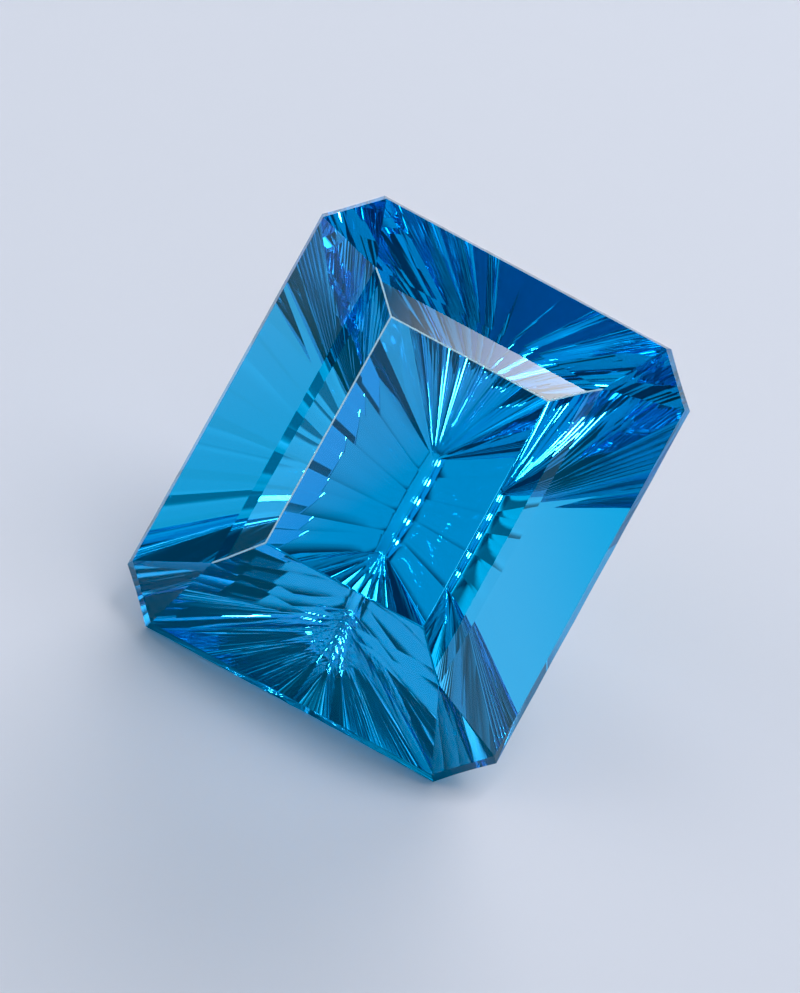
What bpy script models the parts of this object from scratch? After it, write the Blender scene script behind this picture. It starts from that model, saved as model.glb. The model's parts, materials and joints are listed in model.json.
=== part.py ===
"""A blue topaz gem, cut as a long octagon with a stepped crown and a fluted pavilion.

The stone is shaped table up, with the top edge of its girdle at height zero, its short
sides along X and its long sides along Y. It is then tipped over, because a loose gem can't
stand on its keel: it lies on the lower edge of one short girdle side and on one keel end.
"""

import math

import bmesh
import bpy
from mathutils import Matrix, Vector

MM = 0.001
NODE_NAME = "topaz"

# Girdle: the widest outline, a rectangle with its four corners cut off
GIRDLE_WIDTH = 15.2 * MM
GIRDLE_LENGTH = 18.0 * MM
CORNER_CUT = 1.68 * MM
BAND_HEIGHT = 0.52 * MM
BAND_INSET = 0.15 * MM

# Crown: three tiers of flat facets that step in to the table
TIER_WIDTHS = (9.30 * MM, 8.48 * MM, 6.45 * MM)
TIER_LENGTHS = (12.25 * MM, 11.49 * MM, 9.37 * MM)
TIER_HEIGHTS = (2.24 * MM, 2.52 * MM, 3.17 * MM)

# Pavilion: hollow flutes that run down from the girdle to a short keel
PAVILION_DEPTH = 7.75 * MM
KEEL_LENGTH = 3.80 * MM
KEEL_OFFSET = -0.15 * MM
KEEL_ROUNDING = 0.15 * MM
FLUTES_ON_END = 6
FLUTES_ON_CORNER = 1
FLUTES_ON_SIDE = 5
END_FLUTE_HOLLOW = 0.03
SIDE_FLUTE_HOLLOW = 0.01

# Fineness: strips across a flute, and how far from the keel its rows of points lie
FLUTE_STEPS = 10
KEEL_ROWS = (0.0, 0.12 * MM, 0.28 * MM, 0.60 * MM)

# Points of neighbouring faces closer than this are one point
WELD_DISTANCE = 0.001 * MM

# Finish: clear sky-blue stone, polished
TOPAZ_COLOUR = (0.02, 0.33, 0.62, 1.0)
TOPAZ_IOR = 1.62


def outline(width, length, cut, height):
    """The eight corners of a rectangle with its corners cut off, anticlockwise from above."""
    x, y = width / 2, length / 2
    corners = (
        (-x + cut, y), (-x, y - cut),
        (-x, -y + cut), (-x + cut, -y),
        (x - cut, -y), (x, -y + cut),
        (x, y - cut), (x - cut, y),
    )
    return [Vector((a, b, height)) for a, b in corners]


def rectangle(width, length, height):
    """The four corners of a level rectangle, in the order of the outline's cut corners."""
    x, y = width / 2, length / 2
    return [Vector((a, b, height)) for a, b in ((-x, y), (-x, -y), (x, -y), (x, y))]


def add_face(mesh, points, smooth=False):
    """Adds one face on new points; equal points are welded once every face is there."""
    face = mesh.faces.new([mesh.verts.new(point) for point in points])
    face.smooth = smooth
    return face


def add_crown(mesh, girdle):
    """The three tiers of flat facets, the four corner facets and the table."""
    lines = [
        rectangle(width, length, height)
        for width, length, height in zip(TIER_WIDTHS, TIER_LENGTHS, TIER_HEIGHTS)
    ]
    for corner in range(4):
        follower = (corner + 1) % 4
        left, right = girdle[2 * corner], girdle[2 * corner + 1]
        add_face(mesh, (left, right, lines[0][corner]))
        add_face(mesh, (right, girdle[2 * follower], lines[0][follower], lines[0][corner]))
        for lower, upper in zip(lines, lines[1:]):
            add_face(mesh, (lower[corner], lower[follower], upper[follower], upper[corner]))
    add_face(mesh, lines[-1])


def hollow_line(start, end, pull):
    """Points from start to end, drawn off the straight line by pull at the middle."""
    shares = [step / FLUTE_STEPS for step in range(FLUTE_STEPS + 1)]
    return [start.lerp(end, share) + pull * (4 * share * (1 - share)) for share in shares]


def keel_lift(distance):
    """How far the rounding lifts a point of the pavilion that far from the keel."""
    share = distance / KEEL_ROUNDING
    return KEEL_ROUNDING * (math.sqrt(1 + share * share) - share)


def flute_rows(rim_point, keel_point):
    """Points down one ruling of a flute, from the girdle to the rounded keel."""
    run = (rim_point - keel_point).xy.length
    rows = [rim_point]
    for distance in reversed(KEEL_ROWS):
        point = keel_point.lerp(rim_point, distance / run)
        rows.append(point + Vector((0, 0, keel_lift(distance))))
    return rows


def add_flute(mesh, rim, keel):
    """One hollow flute between its points on the girdle and its points on the keel."""
    rulings = [flute_rows(*points) for points in zip(rim, keel)]
    for left, right in zip(rulings, rulings[1:]):
        for row in range(len(left) - 1):
            add_face(mesh, (left[row], right[row], right[row + 1]), smooth=True)
            narrows_to_a_point = (left[row + 1] - right[row + 1]).length < WELD_DISTANCE
            if not narrows_to_a_point:
                add_face(mesh, (left[row], right[row + 1], left[row + 1]), smooth=True)


def even_shares(parts):
    """Shares of a line that divide it into parts of one length."""
    return [part / parts for part in range(parts + 1)]


def fan_shares(start, end, centre, parts):
    """Shares of the line from start to end that take up equal angles round the centre."""
    first, last = (start - centre).xy, (end - centre).xy
    along = last - first
    shares = [0.0]
    for part in range(1, parts):
        ray = first.slerp(last, part / parts)
        shares.append(first.cross(ray) / ray.cross(along))
    return shares + [1.0]


def add_fluted_side(mesh, top, bottom, keel, flutes, hollow):
    """One side of the girdle's band, with the flutes that start at its lower edge.

    top, bottom and keel are each a pair of points: the ends of the band's top edge, of its
    lower edge and of the stretch of keel that the flutes run to.
    """
    up_the_band = (top[0] + top[1] - bottom[0] - bottom[1]).normalized()
    edge = []
    if keel[0] == keel[1]:
        shares = fan_shares(bottom[0], bottom[1], keel[0], flutes)
    else:
        shares = even_shares(flutes)
    for near, far in zip(shares, shares[1:]):
        start, end = bottom[0].lerp(bottom[1], near), bottom[0].lerp(bottom[1], far)
        keel_start, keel_end = keel[0].lerp(keel[1], near), keel[0].lerp(keel[1], far)
        rim = hollow_line(start, end, up_the_band * (hollow * (end - start).length))
        keel_rise = Vector((0, 0, hollow * (keel_end - keel_start).length))
        add_flute(mesh, rim, hollow_line(keel_start, keel_end, keel_rise))
        edge += rim[:-1]
    add_face(mesh, [top[1], top[0]] + edge + [bottom[1]])


def add_pavilion(mesh, girdle, rim):
    """The girdle's band and the flutes below it, side by side round the outline."""
    depth = -BAND_HEIGHT - PAVILION_DEPTH
    back = Vector((0, KEEL_OFFSET + KEEL_LENGTH / 2, depth))
    front = Vector((0, KEEL_OFFSET - KEEL_LENGTH / 2, depth))
    corner = (FLUTES_ON_CORNER, END_FLUTE_HOLLOW)
    end = (FLUTES_ON_END, END_FLUTE_HOLLOW)
    side = (FLUTES_ON_SIDE, SIDE_FLUTE_HOLLOW)
    sides = (
        ((back, back), corner), ((back, front), side),
        ((front, front), corner), ((front, front), end),
        ((front, front), corner), ((front, back), side),
        ((back, back), corner), ((back, back), end),
    )
    for index, (keel, (flutes, hollow)) in enumerate(sides):
        follower = (index + 1) % len(sides)
        top = (girdle[index], girdle[follower])
        bottom = (rim[index], rim[follower])
        add_fluted_side(mesh, top, bottom, keel, flutes, hollow)


def topaz_material():
    """Clear blue topaz, polished."""
    material = bpy.data.materials.new("polished blue topaz")
    material.use_nodes = True
    shader = material.node_tree.nodes["Principled BSDF"]
    shader.inputs["Base Color"].default_value = TOPAZ_COLOUR
    shader.inputs["Roughness"].default_value = 0.02
    shader.inputs["Metallic"].default_value = 0.0
    shader.inputs["IOR"].default_value = TOPAZ_IOR
    shader.inputs["Transmission Weight"].default_value = 1.0
    return material


def topaz_mesh():
    """The whole stone, table up, as one closed mesh."""
    inset_width = GIRDLE_WIDTH - 2 * BAND_INSET
    inset_length = GIRDLE_LENGTH - 2 * BAND_INSET
    girdle = outline(inset_width, inset_length, CORNER_CUT, 0)
    rim = outline(GIRDLE_WIDTH, GIRDLE_LENGTH, CORNER_CUT, -BAND_HEIGHT)
    mesh = bmesh.new()
    add_crown(mesh, girdle)
    add_pavilion(mesh, girdle, rim)
    bmesh.ops.remove_doubles(mesh, verts=mesh.verts, dist=WELD_DISTANCE)
    bmesh.ops.recalc_face_normals(mesh, faces=mesh.faces)
    data = bpy.data.meshes.new(NODE_NAME)
    mesh.to_mesh(data)
    mesh.free()
    return data


def resting_place(data):
    """Where the stone comes to rest, lying on one short girdle side and one keel end.

    It tips about the lower edge of that girdle side until the first point of the pavilion
    meets the ground, and lies with the middle of its bounding box over the origin.
    """
    edge = Vector((0, -GIRDLE_LENGTH / 2, -BAND_HEIGHT))
    below = [v.co - edge for v in data.vertices if v.co.z < edge.z and v.co.y > edge.y / 2]
    tip = max(math.atan2(-point.z, point.y) for point in below)
    lean = Matrix.Rotation(tip, 4, "X")
    points = [lean @ vertex.co for vertex in data.vertices]
    lowest = min(point.z for point in points)
    middle = (min(point.y for point in points) + max(point.y for point in points)) / 2
    return Matrix.Translation((0, -middle, -lowest)) @ lean


def main():
    """Clears the file's objects and builds the stone where it lies."""
    for item in list(bpy.data.objects):
        bpy.data.objects.remove(item)
    data = topaz_mesh()
    data.materials.append(topaz_material())
    stone = bpy.data.objects.new(NODE_NAME, data)
    stone.matrix_world = resting_place(data)
    bpy.context.scene.collection.objects.link(stone)


main()
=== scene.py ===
"""A loose blue topaz lying on a pale floor, dressed and lit for the photograph's view.

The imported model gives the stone's place. The stone itself is rebuilt here from the same named
sizes, with smooth flutes and softened edges, and is given the look of clear blue topaz. The
floor, the lights and the camera stand round it.
"""

import json
import logging
import math
from dataclasses import dataclass, field
from enum import Enum

import bmesh
import bpy
from mathutils import Matrix, Vector

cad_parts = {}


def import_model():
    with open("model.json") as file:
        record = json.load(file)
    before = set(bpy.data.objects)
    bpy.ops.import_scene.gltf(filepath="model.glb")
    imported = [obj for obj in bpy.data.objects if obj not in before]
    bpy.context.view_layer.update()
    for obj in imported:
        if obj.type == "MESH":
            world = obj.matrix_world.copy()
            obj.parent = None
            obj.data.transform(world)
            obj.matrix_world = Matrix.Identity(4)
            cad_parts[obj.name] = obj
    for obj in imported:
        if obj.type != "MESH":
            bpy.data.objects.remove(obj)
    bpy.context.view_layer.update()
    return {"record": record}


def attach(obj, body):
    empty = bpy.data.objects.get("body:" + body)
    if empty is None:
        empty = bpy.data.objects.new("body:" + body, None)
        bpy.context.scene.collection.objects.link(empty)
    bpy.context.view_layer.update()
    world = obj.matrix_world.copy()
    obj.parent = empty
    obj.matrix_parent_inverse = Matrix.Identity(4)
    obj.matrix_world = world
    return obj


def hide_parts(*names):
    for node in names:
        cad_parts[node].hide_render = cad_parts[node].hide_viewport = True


MM = 0.001
STONE_NODE = "topaz"
STONE_BODY = "root"

# The mesh attribute that is 1 on the frosted table edges that carry a painted white highlight, and
# 0 elsewhere
PAINTED_EDGE_HIGHLIGHT = "painted_edge_highlight"

# The photograph's reds are printed deep, so the faintest red in the stone goes to none
DEEP_REDS = (0.03, 0.0, 0.0)

# How often light may turn inside the stone, and how bright one sparkle of it may get
LIGHT_TURNS = 32
BRIGHTEST_SPARKLE = 60.0

Line = tuple[Vector, Vector]
log = logging.getLogger("topaz")


def linear(hex_colour: str) -> tuple[float, float, float, float]:
    """Turns an sRGB hex colour into linear light.

    Args:
        hex_colour: six hex digits, red first.

    Returns:
        Linear red, green and blue, and full opacity.
    """
    parts = [int(hex_colour[at : at + 2], 16) / 255 for at in (0, 2, 4)]
    red, green, blue = [
        part / 12.92 if part <= 0.04045 else ((part + 0.055) / 1.055) ** 2.4 for part in parts
    ]
    return red, green, blue, 1.0


def add_node(
    tree: bpy.types.NodeTree, kind: str, inputs: dict | None = None, **settings: object
) -> bpy.types.Node:
    """Adds a node with its settings, and fills its inputs.

    Args:
        tree: the node tree that gets the node.
        kind: the node's type name.
        inputs: for each input, by name or number, its value or the socket that feeds it.
        **settings: the node's own settings, by name.

    Returns:
        The new node.
    """
    node = tree.nodes.new(kind)
    for name, value in settings.items():
        setattr(node, name, value)
    for key, value in (inputs or {}).items():
        if isinstance(value, bpy.types.NodeSocket):
            tree.links.new(value, node.inputs[key])
        else:
            node.inputs[key].default_value = value
    return node


def direction(azimuth: float, elevation: float) -> Vector:
    """The direction from the stone at those angles.

    Args:
        azimuth: degrees from -Y, positive towards +X.
        elevation: degrees above the floor.

    Returns:
        A vector of length one.
    """
    turn, rise = math.radians(azimuth), math.radians(elevation)
    across = math.cos(rise)
    return Vector((math.sin(turn) * across, -math.cos(turn) * across, math.sin(rise)))


def facing(azimuth: float, elevation: float, roll: float = 0.0) -> Matrix:
    """A turn whose Z axis points out in a direction, as a light's or a camera's back does.

    Args:
        azimuth: degrees from -Y, positive towards +X.
        elevation: degrees above the floor.
        roll: degrees anticlockwise about the Z axis, from level.

    Returns:
        A rotation matrix.
    """
    back = direction(azimuth, elevation)
    right = Vector((0, 0, 1)).cross(back).normalized()
    turn = Matrix((right, back.cross(right), back)).transposed().to_4x4()
    return turn @ Matrix.Rotation(math.radians(roll), 4, "Z")


class Division(Enum):
    """How one side of the stone is divided into flutes."""

    EQUAL_LENGTHS = "equal lengths along the girdle"
    EQUAL_ANGLES = "equal angles round one end of the keel"


@dataclass(frozen=True)
class Panel:
    """A strip of surface ruled between two lines, each drawn to one side along its middle."""

    first: Line
    second: Line
    first_pull: Vector
    second_pull: Vector
    seed: Vector


@dataclass
class RuledPanels:
    """Lays a grid along each panel, with one geometry node tree for every kind of panel."""

    strips: int = 40
    ripples: float = 5.0
    ripple_depth: float = 0.07
    crowding: float = 2.0
    at_the_edge: float = 0.001
    weld: float = 0.0002 * MM
    attributes: tuple[str, ...] = (
        "first_start",
        "first_end",
        "second_start",
        "second_end",
        "first_pull",
        "second_pull",
        "seed",
    )

    def seeds(self, name: str, panels: list[Panel]) -> bpy.types.Object:
        """Makes one loose point for each panel, which carries the panel's lines.

        Args:
            name: the object's name.
            panels: the panels to lay.

        Returns:
            The object that the node tree grows the panels from.
        """
        mesh = bpy.data.meshes.new(name)
        mesh.from_pydata([(0, 0, 0)] * len(panels), [], [])
        columns = zip(
            *[(*p.first, *p.second, p.first_pull, p.second_pull, p.seed) for p in panels]
        )
        for attribute_name, vectors in zip(self.attributes, columns):
            attribute = mesh.attributes.new(attribute_name, "FLOAT_VECTOR", "POINT")
            attribute.data.foreach_set("vector", [part for vector in vectors for part in vector])
        seeds = bpy.data.objects.new(name, mesh)
        bpy.context.scene.collection.objects.link(seeds)
        return seeds

    def tree(self) -> bpy.types.NodeTree:
        """Builds the node tree: a grid for each point, moved onto the point's panel.

        Returns:
            A geometry node tree with named inputs for its sizes.
        """
        tree = bpy.data.node_groups.new("ruled panels", "GeometryNodeTree")
        sockets = (
            ("Seeds", "NodeSocketGeometry"),
            ("Strips", "NodeSocketInt"),
            ("Rows", "NodeSocketInt"),
            ("Crowding", "NodeSocketFloat"),
            ("Rounding", "NodeSocketFloat"),
            ("Ripples", "NodeSocketFloat"),
            ("Ripple Depth", "NodeSocketFloat"),
            ("Weld", "NodeSocketFloat"),
            ("Smooth", "NodeSocketBool"),
            ("Finish", "NodeSocketMaterial"),
        )
        for socket_name, kind in sockets:
            tree.interface.new_socket(socket_name, in_out="INPUT", socket_type=kind)
        tree.interface.new_socket("Panels", in_out="OUTPUT", socket_type="NodeSocketGeometry")
        given = add_node(tree, "NodeGroupInput").outputs

        def maths(operation: str, *values: object) -> bpy.types.NodeSocket:
            """One sum on numbers."""
            inputs = dict(enumerate(values))
            return add_node(tree, "ShaderNodeMath", inputs, operation=operation).outputs[0]

        def vectors(operation: str, *values: object) -> bpy.types.NodeSocket:
            """One sum on vectors."""
            inputs = dict(enumerate(values))
            node = add_node(tree, "ShaderNodeVectorMath", inputs, operation=operation)
            return node.outputs["Value" if operation == "LENGTH" else "Vector"]

        def scaled(vector: bpy.types.NodeSocket, by: bpy.types.NodeSocket) -> bpy.types.NodeSocket:
            """A vector times a number."""
            inputs = {0: vector, "Scale": by}
            return add_node(tree, "ShaderNodeVectorMath", inputs, operation="SCALE").outputs[0]

        def between(
            start: bpy.types.NodeSocket, end: bpy.types.NodeSocket, share: bpy.types.NodeSocket
        ) -> bpy.types.NodeSocket:
            """The point at a share of the way from start to end."""
            return vectors("ADD", start, scaled(vectors("SUBTRACT", end, start), share))

        def carried(attribute_name: str) -> bpy.types.NodeSocket:
            """A vector that the panel's seed point carries."""
            inputs = {"Name": attribute_name}
            node = add_node(
                tree, "GeometryNodeInputNamedAttribute", inputs, data_type="FLOAT_VECTOR"
            )
            return node.outputs["Attribute"]

        across_count = maths("ADD", given["Strips"], 1)
        down_count = maths("ADD", given["Rows"], 1)
        grid = add_node(
            tree,
            "GeometryNodeMeshGrid",
            {"Size X": 1, "Size Y": 1, "Vertices X": across_count, "Vertices Y": down_count},
        )
        place = add_node(tree, "GeometryNodeInputPosition").outputs[0]
        marked = add_node(
            tree,
            "GeometryNodeStoreNamedAttribute",
            {
                "Geometry": grid.outputs["Mesh"],
                "Name": "grid_place",
                "Value": vectors("ADD", place, (0.5, 0.5, 0)),
            },
            data_type="FLOAT_VECTOR",
            domain="POINT",
        )
        laid = add_node(
            tree,
            "GeometryNodeInstanceOnPoints",
            {"Points": given["Seeds"], "Instance": marked.outputs[0]},
        )
        real = add_node(tree, "GeometryNodeRealizeInstances", {0: laid.outputs[0]})
        parts = add_node(tree, "ShaderNodeSeparateXYZ", {0: carried("grid_place")}).outputs
        across, down = parts["X"], parts["Y"]

        # The rows crowd towards the second line, where the rounding needs them
        left_over = maths("POWER", maths("SUBTRACT", 1, down), given["Crowding"])
        along = maths("SUBTRACT", 1, left_over)
        lines = [carried(attribute_name) for attribute_name in self.attributes]
        first_start, first_end, second_start, second_end, first_pull, second_pull, seed = lines

        # The hollow is deepest in the middle, and the cutting wheel leaves it a little rippled
        hollow = maths("MULTIPLY", maths("MULTIPLY", across, maths("SUBTRACT", 1, across)), 4)
        step = add_node(
            tree, "ShaderNodeCombineXYZ", {"X": maths("MULTIPLY", across, given["Ripples"])}
        )
        place_in_noise = {"Vector": vectors("ADD", step.outputs[0], seed), "Scale": 1}
        noise = add_node(tree, "ShaderNodeTexNoise", place_in_noise).outputs["Fac"]
        ripple = maths("MULTIPLY", maths("SUBTRACT", noise, 0.5), given["Ripple Depth"])
        bow = maths("MULTIPLY", hollow, maths("ADD", ripple, 1))
        first_line = between(first_start, first_end, across)
        second_line = between(second_start, second_end, across)
        first = vectors("ADD", first_line, scaled(first_pull, bow))
        second = vectors("ADD", second_line, scaled(second_pull, bow))
        point = between(first, second, along)

        # The rounding lifts a point by less the further it is from the second line
        to_second = vectors("MULTIPLY", vectors("SUBTRACT", second, point), (1, 1, 0))
        distance = vectors("LENGTH", to_second)
        slant = maths(
            "SQRT",
            maths(
                "ADD",
                maths("MULTIPLY", distance, distance),
                maths("MULTIPLY", given["Rounding"], given["Rounding"]),
            ),
        )
        lift = maths("MULTIPLY", maths("SUBTRACT", slant, distance), along)
        raised = add_node(tree, "ShaderNodeCombineXYZ", {"Z": lift}).outputs[0]
        shaped = add_node(
            tree,
            "GeometryNodeSetPosition",
            {"Geometry": real.outputs[0], "Position": vectors("ADD", point, raised)},
        )

        # Ridges stay crisp: an edge is one where the grid's own edge runs down the panel
        at_start = maths("LESS_THAN", across, self.at_the_edge)
        at_end = maths("GREATER_THAN", across, 1 - self.at_the_edge)
        ridge = add_node(
            tree,
            "GeometryNodeStoreNamedAttribute",
            {
                "Geometry": shaped.outputs[0],
                "Name": "sharp_edge",
                "Value": maths("ADD", at_start, at_end),
            },
            data_type="BOOLEAN",
            domain="EDGE",
        )
        shaded = add_node(
            tree,
            "GeometryNodeSetShadeSmooth",
            {"Geometry": ridge.outputs[0], "Shade Smooth": given["Smooth"]},
            domain="FACE",
        )
        welded = add_node(
            tree,
            "GeometryNodeMergeByDistance",
            {"Geometry": shaded.outputs[0], "Distance": given["Weld"]},
        )
        finished = add_node(
            tree,
            "GeometryNodeSetMaterial",
            {"Geometry": welded.outputs[0], "Material": given["Finish"]},
        )
        add_node(tree, "NodeGroupOutput", {0: finished.outputs[0]})
        return tree

    def lay(
        self,
        tree: bpy.types.NodeTree,
        name: str,
        panels: list[Panel],
        rows: int,
        rounding: float,
        smooth: bool,
        finish: bpy.types.Material,
    ) -> bpy.types.Mesh:
        """Lays the panels and turns them into a plain mesh.

        Args:
            tree: the tree from the tree method.
            name: the mesh's name.
            panels: the panels to lay.
            rows: rows of faces from each panel's first line to its second.
            rounding: how far the second line is rounded off.
            smooth: whether the faces are shaded as one smooth surface.
            finish: the material of every face.

        Returns:
            The finished mesh, with its place in its points.
        """
        seeds = self.seeds(name, panels)
        modifier = seeds.modifiers.new(name, "NODES")
        modifier.node_group = tree
        values = {
            "Strips": self.strips,
            "Rows": rows,
            "Crowding": self.crowding,
            "Rounding": rounding,
            "Ripples": self.ripples,
            "Ripple Depth": self.ripple_depth,
            "Weld": self.weld,
            "Smooth": smooth,
            "Finish": finish,
        }
        for item in tree.interface.items_tree:
            if item.name in values:
                modifier[item.identifier] = values[item.name]
        graph = bpy.context.evaluated_depsgraph_get()
        mesh = bpy.data.meshes.new_from_object(
            seeds.evaluated_get(graph), preserve_all_data_layers=True, depsgraph=graph
        )
        bpy.data.objects.remove(seeds)
        for attribute_name in (*self.attributes, "grid_place"):
            mesh.attributes.remove(mesh.attributes[attribute_name])
        log.info("%s: %d panels, %d faces", name, len(panels), len(mesh.polygons))
        return mesh


@dataclass
class Girdle:
    """The widest outline: a rectangle with its corners cut off, and the band round it."""

    width: float = 15.2 * MM
    length: float = 18.0 * MM
    corner_cut: float = 1.68 * MM
    band_height: float = 0.52 * MM
    band_inset: float = 0.15 * MM

    def outline(self, inset: float, height: float) -> list[Vector]:
        """The outline's eight corners.

        Args:
            inset: how far each side lies inside the widest outline.
            height: the corners' height.

        Returns:
            The corners, anticlockwise from above.
        """
        x, y = self.width / 2 - inset, self.length / 2 - inset
        cut = self.corner_cut
        corners = (
            (-x + cut, y), (-x, y - cut),
            (-x, -y + cut), (-x + cut, -y),
            (x - cut, -y), (x, -y + cut),
            (x, y - cut), (x - cut, y),
        )
        return [Vector((a, b, height)) for a, b in corners]

    def upper(self) -> list[Vector]:
        """The corners of the band's upper edge, where the crown starts."""
        return self.outline(self.band_inset, 0)

    def lower(self) -> list[Vector]:
        """The corners of the band's lower edge, where the flutes start."""
        return self.outline(0, -self.band_height)


@dataclass
class Crown:
    """Three tiers of flat facets that step in to the table, and a facet at each corner."""

    tier_widths: tuple[float, ...] = (9.30 * MM, 8.48 * MM, 6.45 * MM)
    tier_lengths: tuple[float, ...] = (12.25 * MM, 11.49 * MM, 9.37 * MM)
    tier_heights: tuple[float, ...] = (2.24 * MM, 2.52 * MM, 3.17 * MM)
    edge_rounding: float = 0.033 * MM
    edge_strips: int = 4

    def table_centre(self) -> Vector:
        """The middle of the table."""
        return Vector((0, 0, self.tier_heights[-1]))

    def tier_lines(self) -> list[list[Vector]]:
        """The four corners of the top line of each tier, in the outline's order."""
        lines = []
        for width, length, height in zip(self.tier_widths, self.tier_lengths, self.tier_heights):
            x, y = width / 2, length / 2
            corners = ((-x, y), (-x, -y), (x, -y), (x, y))
            lines.append([Vector((a, b, height)) for a, b in corners])
        return lines

    def build(self, foot: list[list[Vector]]) -> bmesh.types.BMesh:
        """Builds the crown, with the edges round the table and up its corners worn round.

        Args:
            foot: for each side of the girdle, the points along the crown's lower edge.

        Returns:
            The crown, open below.
        """
        mesh = bmesh.new()
        # Marks the faces that get frosting and a painted white highlight
        painted_edge_highlight = mesh.faces.layers.float.new(PAINTED_EDGE_HIGHLIGHT)
        lines = [[mesh.verts.new(point) for point in line] for line in self.tier_lines()]
        shared: dict[tuple[float, ...], bmesh.types.BMVert] = {}

        def foot_point(point: Vector) -> bmesh.types.BMVert:
            """The one vertex at a point of the lower edge."""
            key = tuple(round(part / (0.001 * MM)) for part in point)
            if key not in shared:
                shared[key] = mesh.verts.new(point)
            return shared[key]

        worn_edges = []
        for corner in range(4):
            follower = (corner + 1) % 4
            cut_side = [foot_point(point) for point in foot[2 * corner]]
            long_side = [foot_point(point) for point in foot[2 * corner + 1]]
            mesh.faces.new([*cut_side, lines[0][corner]])
            mesh.faces.new([*long_side, lines[0][follower], lines[0][corner]])
            for lower, upper in zip(lines, lines[1:]):
                mesh.faces.new((lower[corner], lower[follower], upper[follower], upper[corner]))
        mesh.faces.new(lines[-1])
        for corner in range(4):
            follower = (corner + 1) % 4
            worn_edges.append(mesh.edges.get((lines[-1][corner], lines[-1][follower])))
            for lower, upper in zip(lines, lines[1:]):
                worn_edges.append(mesh.edges.get((lower[corner], upper[corner])))
        worn = bmesh.ops.bevel(
            mesh,
            geom=worn_edges,
            offset=self.edge_rounding,
            offset_type="OFFSET",
            segments=self.edge_strips,
            profile=0.5,
            affect="EDGES",
            clamp_overlap=True,
        )
        # Only the two table edges that are lit white, and the edges up to them, are frosted and
        # given the painted white highlight
        left = self.edge_rounding - self.tier_widths[-1] / 2
        top = self.tier_lengths[-1] / 2 - self.edge_rounding
        for face in worn["faces"]:
            face.smooth = True
            middle = face.calc_center_median()
            face[painted_edge_highlight] = float(middle.x < left or middle.y > top)
        log.info("crown: %d faces", len(mesh.faces))
        return mesh


@dataclass
class Pavilion:
    """The hollow flutes below the girdle, and the girdle's band that they scallop."""

    girdle: Girdle
    depth: float = 7.75 * MM
    keel_length: float = 3.80 * MM
    keel_offset: float = -0.15 * MM
    keel_rounding: float = 0.15 * MM
    flutes_on_end: int = 6
    flutes_on_corner: int = 1
    flutes_on_side: int = 5
    end_hollow: float = 0.03
    side_hollow: float = 0.01
    rows: int = 16
    grids: RuledPanels = field(default_factory=RuledPanels)

    def sides(self) -> list[tuple[Line, Division, int, float]]:
        """What each side of the outline has below it, in the outline's order.

        Returns:
            For each side, the stretch of keel that its flutes run to, how they divide the side,
            how many they are and how hollow each is for its width.
        """
        level = -self.girdle.band_height - self.depth
        back = Vector((0, self.keel_offset + self.keel_length / 2, level))
        front = Vector((0, self.keel_offset - self.keel_length / 2, level))
        corner = (Division.EQUAL_ANGLES, self.flutes_on_corner, self.end_hollow)
        end = (Division.EQUAL_ANGLES, self.flutes_on_end, self.end_hollow)
        long = (Division.EQUAL_LENGTHS, self.flutes_on_side, self.side_hollow)
        return [
            ((back, back), *corner), ((back, front), *long),
            ((front, front), *corner), ((front, front), *end),
            ((front, front), *corner), ((front, back), *long),
            ((back, back), *corner), ((back, back), *end),
        ]

    @staticmethod
    def shares(side: Line, centre: Vector, flutes: int, division: Division) -> list[float]:
        """Where the ridges between flutes meet a side, as shares of its length.

        Args:
            side: the side's two ends.
            centre: the point that equal angles are taken round.
            flutes: the number of flutes.
            division: how the side is divided.

        Returns:
            The shares, from 0 to 1.
        """
        if division is Division.EQUAL_LENGTHS:
            return [flute / flutes for flute in range(flutes + 1)]
        first, last = (side[0] - centre).xy, (side[1] - centre).xy
        along = last - first
        shares = [0.0]
        for flute in range(1, flutes):
            ray = first.slerp(last, flute / flutes)
            shares.append(first.cross(ray) / ray.cross(along))
        return [*shares, 1.0]

    def panels(self) -> tuple[list[Panel], list[Panel], list[list[Vector]]]:
        """Works out every flute, and the piece of band above each.

        Returns:
            The flutes, the pieces of band, and for each side the points along the band's top.
        """
        flutes, band, tops = [], [], []
        upper, lower = self.girdle.upper(), self.girdle.lower()
        for index, (keel, division, count, hollow) in enumerate(self.sides()):
            follower = (index + 1) % len(upper)
            top = (upper[index], upper[follower])
            rim = (lower[index], lower[follower])
            up_the_band = (top[0] + top[1] - rim[0] - rim[1]).normalized()
            shares = self.shares(rim, keel[0], count, division)
            points = [top[0]]
            for near, far in zip(shares, shares[1:]):
                rim_line = (rim[0].lerp(rim[1], near), rim[0].lerp(rim[1], far))
                top_line = (top[0].lerp(top[1], near), top[0].lerp(top[1], far))
                keel_line = (keel[0].lerp(keel[1], near), keel[0].lerp(keel[1], far))
                rim_pull = up_the_band * (hollow * (rim_line[1] - rim_line[0]).length)
                keel_rise = hollow * (keel_line[1] - keel_line[0]).length
                keel_pull = Vector((0, 0, keel_rise))
                seed = Vector((0, len(flutes) * self.grids.ripples, 0))
                flutes.append(Panel(rim_line, keel_line, rim_pull, keel_pull, seed))
                band.append(Panel(top_line, rim_line, Vector(), rim_pull, seed))
                strips = self.grids.strips
                points += [top_line[0].lerp(top_line[1], s / strips) for s in range(1, strips + 1)]
            tops.append(points)
        return flutes, band, tops

    def build(
        self, finish: bpy.types.Material
    ) -> tuple[bpy.types.Mesh, bpy.types.Mesh, list[list[Vector]]]:
        """Lays the flutes and the band.

        Args:
            finish: the stone's material.

        Returns:
            The flutes' mesh, the band's mesh, and for each side the points along the band's top.
        """
        flutes, band, tops = self.panels()
        tree = self.grids.tree()
        lay = self.grids.lay
        fluted = lay(tree, "flutes", flutes, self.rows, self.keel_rounding, True, finish)
        banded = lay(tree, "girdle band", band, 1, 0.0, False, finish)
        return fluted, banded, tops


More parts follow.
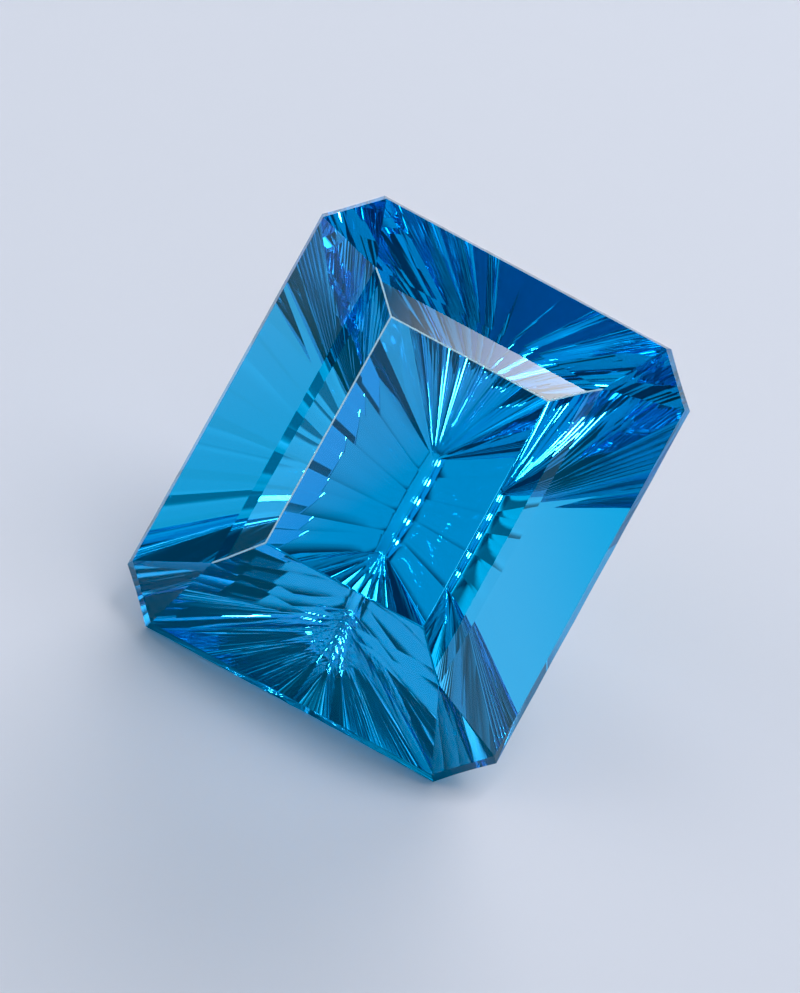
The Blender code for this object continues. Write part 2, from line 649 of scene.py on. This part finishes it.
@dataclass(frozen=True)
class PolishedTopaz:
    """Irradiated blue topaz, faceted and polished: clear, with mirror-bright facets.

    A lap's marks are far too fine to show, so the hazy patches are drawn 0.4 mm across.
    """

    body_colour: str = "40C8F9"
    ior: float = 1.62
    haze: float = 0.05
    haze_from: float = 0.6
    haze_grain: float = 0.4 * MM
    # The near-white painted on the lit table edges: a painted highlight
    painted_highlight_colour: str = "C8F0FF"
    frost_roughness: float = 0.4
    frost_cloudiness: float = 0.95
    absorbed_per_metre: tuple[float, float, float] = (35.0, 18.0, 4.0)
    absorption_density: float = 100.0

    def make(self) -> bpy.types.Material:
        """Makes the material.

        The body colour tints what is seen through the stone. The absorption deepens it to navy
        along the long paths that light takes between the flutes. The polish has faint hazy
        patches, as a lap leaves them, and the two table edges that are lit white are frosted
        and painted near-white: partly frost, partly a painted highlight, shown as fine lines.

        Returns:
            The material.
        """
        material = bpy.data.materials.new("polished blue topaz")
        material.use_nodes = True
        tree = material.node_tree
        shader = tree.nodes["Principled BSDF"]
        shader.inputs["IOR"].default_value = self.ior
        place = add_node(tree, "ShaderNodeTexCoord").outputs["Object"]
        grain = {"Vector": place, "Scale": 1 / self.haze_grain, "Detail": 1.0}
        uneven = add_node(tree, "ShaderNodeTexNoise", grain).outputs["Fac"]
        patches = {"Value": uneven, "From Min": self.haze_from, "To Max": self.haze}
        hazed = add_node(tree, "ShaderNodeMapRange", patches).outputs["Result"]
        # On the lit table edges the polish is rough and cloudy and the colour painted near-white:
        # partly frost, partly a painted highlight
        painted_edge_highlight = add_node(tree, "ShaderNodeAttribute", attribute_name=PAINTED_EDGE_HIGHLIGHT).outputs["Fac"]
        rougher = {0: painted_edge_highlight, 1: self.frost_roughness, 2: hazed}
        roughness = add_node(tree, "ShaderNodeMath", rougher, operation="MULTIPLY_ADD")
        tree.links.new(roughness.outputs[0], shader.inputs["Roughness"])
        cloudier = {0: painted_edge_highlight, 1: -self.frost_cloudiness, 2: 1.0}
        clearness = add_node(tree, "ShaderNodeMath", cloudier, operation="MULTIPLY_ADD")
        tree.links.new(clearness.outputs[0], shader.inputs["Transmission Weight"])
        whiter = {0: painted_edge_highlight, 6: linear(self.body_colour), 7: linear(self.painted_highlight_colour)}
        colour = add_node(tree, "ShaderNodeMix", whiter, data_type="RGBA")
        tree.links.new(colour.outputs[2], shader.inputs["Base Color"])
        kept = [1 - part / self.absorption_density for part in self.absorbed_per_metre]
        absorption = add_node(
            tree,
            "ShaderNodeVolumeAbsorption",
            {"Color": (*kept, 1.0), "Density": self.absorption_density},
        )
        output = tree.nodes["Material Output"]
        tree.links.new(absorption.outputs["Volume"], output.inputs["Volume"])
        return material


@dataclass
class Topaz:
    """The whole stone: crown, band and flutes, joined into one closed surface."""

    girdle: Girdle = field(default_factory=Girdle)
    crown: Crown = field(default_factory=Crown)
    finish: PolishedTopaz = field(default_factory=PolishedTopaz)
    weld: float = 0.0002 * MM

    def place(self, table: dict) -> Matrix:
        """Where the stone lies, from the record's mount on its table.

        Args:
            table: the record's mount on the table.

        Returns:
            The move from the stone standing table up to the stone as it lies.
        """
        axis = Vector(table["axis"])
        lean = Matrix.Rotation(math.atan2(-axis.y, axis.z), 4, "X")
        shift = Vector(table["pos_m"]) - lean @ self.crown.table_centre()
        return Matrix.Translation(shift) @ lean

    def build(self, record: dict) -> bpy.types.Object:
        """Builds and dresses the stone, and puts it in the solid's place.

        Args:
            record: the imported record.

        Returns:
            The finished stone.
        """
        material = self.finish.make()
        fluted, banded, tops = Pavilion(self.girdle).build(material)
        whole = self.crown.build(tops)
        for mesh in (fluted, banded):
            whole.from_mesh(mesh)
            bpy.data.meshes.remove(mesh)
        bmesh.ops.remove_doubles(whole, verts=whole.verts, dist=self.weld)
        bmesh.ops.recalc_face_normals(whole, faces=whole.faces)
        table = next(mount for mount in record["mounts"] if mount["name"] == "table")
        whole.transform(self.place(table))
        open_edges = sum(not edge.is_manifold for edge in whole.edges)
        data = bpy.data.meshes.new("cut stone")
        whole.to_mesh(data)
        whole.free()
        data.materials.clear()
        data.materials.append(material)
        data.polygons.foreach_set("material_index", [0] * len(data.polygons))
        stone = bpy.data.objects.new("cut_stone", data)
        bpy.context.scene.collection.objects.link(stone)
        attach(stone, STONE_BODY)
        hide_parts(STONE_NODE)
        log.info("stone: %d faces, %d open edges", len(data.polygons), open_edges)
        return stone


@dataclass(frozen=True)
class MattFinish:
    """A plain matt finish, for the sheets that lie round the stone."""

    name: str
    colour: str
    roughness: float

    def make(self) -> bpy.types.Material:
        """Makes the material."""
        material = bpy.data.materials.new(self.name)
        material.use_nodes = True
        shader = material.node_tree.nodes["Principled BSDF"]
        shader.inputs["Base Color"].default_value = linear(self.colour)
        shader.inputs["Roughness"].default_value = self.roughness
        return material


def lay_sheet(name: str, corners: list[Vector], finish: MattFinish) -> bpy.types.Object:
    """Lays a flat sheet.

    Args:
        name: the sheet's name.
        corners: its four corners, anticlockwise from above.
        finish: its finish.

    Returns:
        The sheet.
    """
    mesh = bpy.data.meshes.new(name)
    mesh.from_pydata([tuple(corner) for corner in corners], [], [(0, 1, 2, 3)])
    mesh.materials.append(finish.make())
    sheet = bpy.data.objects.new(name, mesh)
    bpy.context.scene.collection.objects.link(sheet)
    return sheet


@dataclass
class PaleFloor:
    """A plain matt floor, paler than the stone, which lies just under it."""

    size: float = 3.0
    level: float = -0.02 * MM
    finish: MattFinish = MattFinish("matt pale laminate", "D2D6E2", 0.6)

    def build(self) -> None:
        """Lays the floor."""
        half = self.size / 2
        plan = ((-half, -half), (half, -half), (half, half), (-half, half))
        lay_sheet("floor", [Vector((x, y, self.level)) for x, y in plan], self.finish)


@dataclass
class PaintedShadeCard:
    """A dark card on the floor beside the stone, painted shade seen only in the stone, which gives
    it navy to show on one side.
    """

    azimuth: float = 43.5
    nearest: float = 21.5 * MM
    length: float = 180 * MM
    width: float = 80 * MM
    finish: MattFinish = MattFinish("painted floor shade", "16181C", 0.9)

    def build(self) -> None:
        """Lays the card of painted shade, to show in the stone alone: from every side the floor
        looks plain.
        """
        out = direction(self.azimuth, 0)
        aside = Vector((-out.y, out.x, 0)) * self.width / 2
        near, far = out * self.nearest, out * (self.nearest + self.length)
        corners = [near - aside, far - aside, far + aside, near + aside]
        card = lay_sheet("painted shade card", corners, self.finish)
        # The painted shade is hidden from the camera, casts no shadow and is not seen by the
        # floor: it shows only in the stone
        card.visible_camera = False
        card.visible_diffuse = False
        card.visible_shadow = False


@dataclass(frozen=True)
class Lamp:
    """A round lamp: a small one for the stone's hard sparkles, or a broad one for the floor."""

    name: str
    azimuth: float
    elevation: float
    size: float
    glow: float
    distance: float = 0.5
    on_floor: bool = False

    def build(self, aim: Vector) -> None:
        """Hangs the lamp.

        Args:
            aim: the point that it faces.
        """
        light = bpy.data.lights.new(self.name, "AREA")
        light.shape = "DISK"
        light.size = self.size

        # A disk of this glow gives off pi times its glow from each part of its area
        area = math.pi * (self.size / 2) ** 2
        light.energy = self.glow * math.pi * area
        lamp = bpy.data.objects.new(self.name, light)
        lamp.visible_diffuse = self.on_floor
        lamp.visible_glossy = not self.on_floor
        lamp.visible_transmission = not self.on_floor
        bpy.context.scene.collection.objects.link(lamp)
        away = direction(self.azimuth, self.elevation) * self.distance
        lamp.matrix_world = Matrix.Translation(aim + away) @ facing(self.azimuth, self.elevation)


@dataclass(frozen=True)
class SoftBox:
    """A soft-edged panel of light, far off in the studio, with its sizes as angles."""

    azimuth: float
    elevation: float
    width: float
    height: float
    glow: float
    colour: str = "FFFFFF"
    softness: float = 0.3
    least_ahead: float = 0.01

    def add_to(
        self,
        tree: bpy.types.NodeTree,
        looking: bpy.types.NodeSocket,
        so_far: bpy.types.NodeSocket,
    ) -> bpy.types.NodeSocket:
        """Adds the panel's light to the light so far.

        Args:
            tree: the world's node tree.
            looking: the direction that is looked in.
            so_far: the light that the panels before this one give.

        Returns:
            The light with this panel's added.
        """
        turn = facing(self.azimuth, self.elevation).to_3x3()
        right, above, toward = (turn.col[axis] for axis in range(3))

        def along(axis: Vector) -> bpy.types.NodeSocket:
            """How far the direction points along an axis."""
            inputs = {0: looking, 1: axis}
            node = add_node(tree, "ShaderNodeVectorMath", inputs, operation="DOT_PRODUCT")
            return node.outputs["Value"]

        def maths(operation: str, *values: object) -> bpy.types.NodeSocket:
            """One sum on numbers."""
            inputs = dict(enumerate(values))
            return add_node(tree, "ShaderNodeMath", inputs, operation=operation).outputs[0]

        # A direction that points away from the panel is taken as far outside it
        ahead = maths("MAXIMUM", along(toward), self.least_ahead)
        covered = None
        for axis, size in ((right, self.width), (above, self.height)):
            aside = maths("ABSOLUTE", maths("DIVIDE", along(axis), ahead))
            half = math.tan(math.radians(size / 2))
            edge = {
                "Value": aside,
                "From Min": half * (1 + self.softness),
                "From Max": half * (1 - self.softness),
            }
            node = add_node(tree, "ShaderNodeMapRange", edge, interpolation_type="SMOOTHSTEP")
            inside = node.outputs["Result"]
            covered = maths("MULTIPLY", covered, inside) if covered else inside
        light = [part * self.glow for part in linear(self.colour)[:3]]
        added = {0: light, "Scale": covered}
        panel = add_node(tree, "ShaderNodeVectorMath", added, operation="SCALE").outputs[0]
        both = {0: so_far, 1: panel}
        return add_node(tree, "ShaderNodeVectorMath", both, operation="ADD").outputs[0]


@dataclass
class Studio:
    """The room's dim light, the soft panels all round and the small lamps."""

    aim: Vector = field(default_factory=lambda: Vector((0, 0, 6.5 * MM)))
    room_colour: str = "9BCBFF"
    room_glow: float = 0.08
    backdrop: str = "D8DBE4"
    light_map: int = 512
    panels: tuple[SoftBox, ...] = (
        SoftBox(184, 12, 44, 32, 6.5, softness=0.4),
        SoftBox(-60, 24, 34, 28, 1.8, softness=0.5),
        SoftBox(-112, 54, 20, 30, 1.8, softness=0.4),
        SoftBox(25, 19, 14, 12, 1.0, softness=0.5),
        SoftBox(78, 12, 8, 24, 0.72, softness=0.1),
        SoftBox(96, 6, 28, 19, 0.7, softness=0.1),
        SoftBox(89, 19, 15, 9, 0.18, softness=0.3),
        SoftBox(-109.5, 7, 38, 18, 0.85, softness=0.05),
        SoftBox(-84, 6, 14, 14, 0.2, softness=0.3),
        SoftBox(15, 50, 22, 18, 0.65, softness=0.3),
        SoftBox(22, 71, 16, 12, 0.7, softness=0.3),
        SoftBox(-175, 67, 6.2, 10, 10.0, softness=0.25),
        SoftBox(142, 72, 36, 28, 0.4, softness=0.5),
        SoftBox(-32, 53, 30.96, 26, 0.85, "E9E0F5", softness=0.02),
    )
    lamps: tuple[Lamp, ...] = (
        Lamp("key lamp", -26, 52, 0.044, 80.0),
        Lamp("floor light", 150, 62, 0.4, 3.1, on_floor=True),
    )

    def build(self) -> None:
        """Lights the room and hangs the lamps."""
        world = bpy.data.worlds.new("studio room")
        world.use_nodes = True
        tree = world.node_tree
        background = tree.nodes["Background"]
        looking = add_node(tree, "ShaderNodeTexCoord").outputs["Generated"]
        room = [part * self.room_glow for part in linear(self.room_colour)[:3]]
        light = add_node(tree, "ShaderNodeVectorMath", {0: room}).outputs[0]
        for panel in self.panels:
            light = panel.add_to(tree, looking, light)
        # Behind the stone the room is plain, and the panels show only in the stone
        is_seen = add_node(tree, "ShaderNodeLightPath").outputs["Is Camera Ray"]
        shown = {0: is_seen, 6: light, 7: linear(self.backdrop)}
        mixed = add_node(tree, "ShaderNodeMix", shown, data_type="RGBA").outputs[2]
        tree.links.new(mixed, background.inputs["Color"])
        world.cycles.sampling_method = "MANUAL"
        world.cycles.sample_map_resolution = self.light_map
        bpy.context.scene.world = world
        for lamp in self.lamps:
            lamp.build(self.aim)
        log.info("studio: %d panels, %d lamps", len(self.panels), len(self.lamps))


@dataclass
class PhotoCamera:
    """The camera at the photograph's angle, looking down on the table a little from the right."""

    azimuth: float = 6.23
    elevation: float = 34.53
    roll: float = 24.75
    distance: float = 442.15 * MM
    aim: Vector = field(default_factory=lambda: Vector((-0.086, -0.964, 6.634)) * MM)
    lens: float = 550.5
    sensor: float = 36.0

    def build(self) -> None:
        """Places the camera and makes it the scene's."""
        camera = bpy.data.cameras.new("camera")
        camera.sensor_fit = "HORIZONTAL"
        camera.sensor_width = self.sensor
        camera.lens = self.lens
        camera.clip_start = 10 * MM
        holder = bpy.data.objects.new("camera", camera)
        bpy.context.scene.collection.objects.link(holder)
        away = direction(self.azimuth, self.elevation) * self.distance
        turn = facing(self.azimuth, self.elevation, self.roll)
        holder.matrix_world = Matrix.Translation(self.aim + away) @ turn
        bpy.context.scene.camera = holder


def set_light_paths() -> None:
    """Lets light turn often enough inside the stone, and shows colours as they are."""
    scene = bpy.context.scene
    scene.cycles.max_bounces = LIGHT_TURNS
    scene.cycles.transmission_bounces = LIGHT_TURNS
    scene.cycles.glossy_bounces = LIGHT_TURNS
    scene.cycles.sample_clamp_indirect = BRIGHTEST_SPARKLE
    scene.cycles.use_denoising = True
    view = scene.view_settings
    view.view_transform = "Standard"
    view.use_curve_mapping = True
    view.curve_mapping.black_level = DEEP_REDS


def main() -> None:
    """Builds the stone and everything round it."""
    logging.basicConfig(level=logging.INFO, format="%(name)s: %(message)s")
    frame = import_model()
    Topaz().build(frame["record"])
    PaleFloor().build()
    PaintedShadeCard().build()
    Studio().build()
    PhotoCamera().build()
    set_light_paths()


if __name__ == "__main__":
    main()
